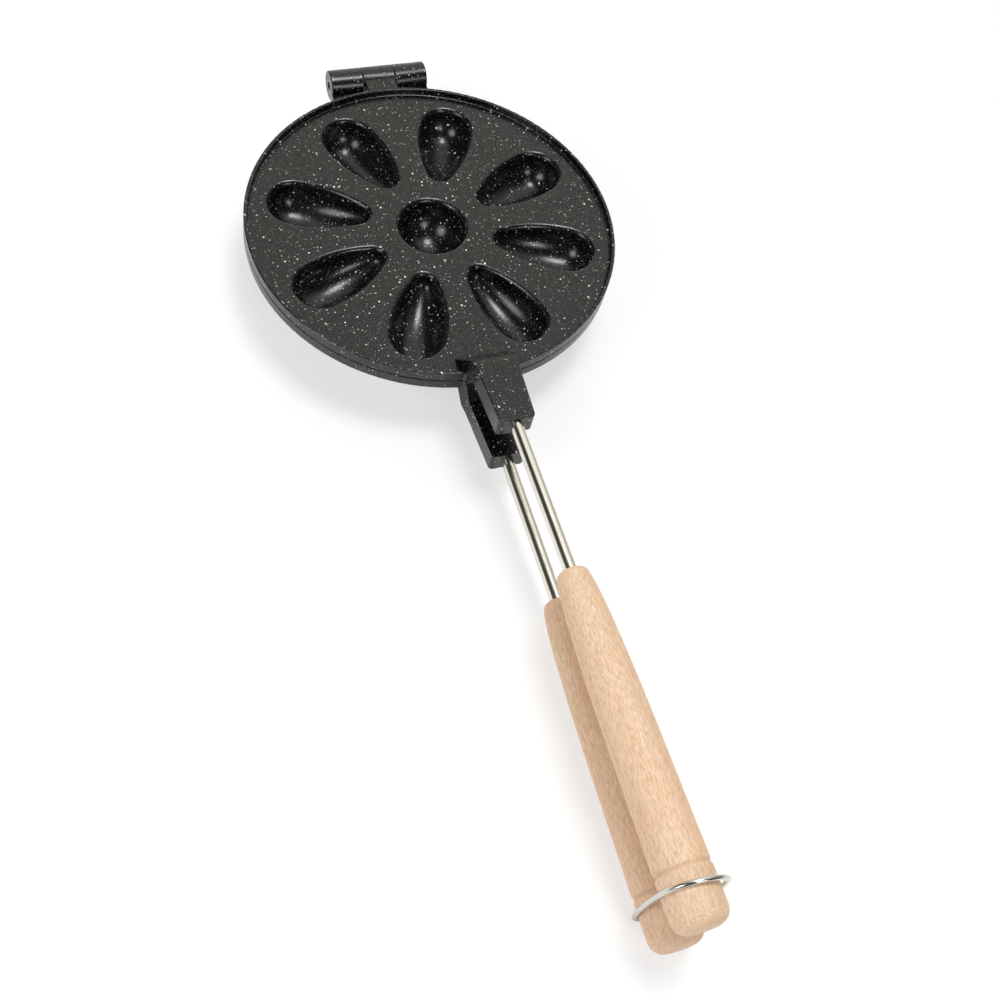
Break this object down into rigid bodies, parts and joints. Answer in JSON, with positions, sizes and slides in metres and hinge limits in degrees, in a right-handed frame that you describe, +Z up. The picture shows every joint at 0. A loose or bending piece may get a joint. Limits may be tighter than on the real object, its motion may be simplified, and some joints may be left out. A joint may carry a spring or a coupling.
{
  "type": "round cake pan",
  "caption": "Hinged round stovetop cake iron with drop and ball moulds, steel rods, turned wooden handles and a wire ring that holds the handles shut.",
  "frame": {"origin": "on the floor, under the middle of the iron's length and width", "axes": "+Y from the handles towards the hinge, +Z up from the bottom plate to the top plate, +X across the plates"},
  "size_m": [0.18, 0.4576, 0.0616],
  "materials": {
    "top_plate_coat": "dark grey non-stick coat with white speckles",
    "bottom_plate_coat": "dark grey non-stick coat with white speckles",
    "pin_steel": "plain steel",
    "rod_steel": "bright nickel plate",
    "handle_wood": "sanded pale beech",
    "ring_steel": "bright plated wire"
  },
  "bodies": {
    "lower": {"lower_plate": "bottom_plate_coat", "hinge_pin": "pin_steel", "lower_rod": "rod_steel", "lower_handle": "handle_wood"},
    "upper": {"upper_plate": "top_plate_coat", "upper_rod": "rod_steel", "upper_handle": "handle_wood"},
    "ring": {"handle_ring": "ring_steel"}
  },
  "joints": [
    {"name": "lid_hinge", "type": "hinge", "parent": "lower", "child": "upper", "pos_m": [0, 0.22143, 0.03583], "axis": [-1, 0, 0], "range_deg": [0, 180]},
    {"name": "ring_slide", "type": "slide", "parent": "lower", "child": "ring", "axis": [0, -0.9997, -0.0227], "range_m": [0, 0.03]}
  ]
}
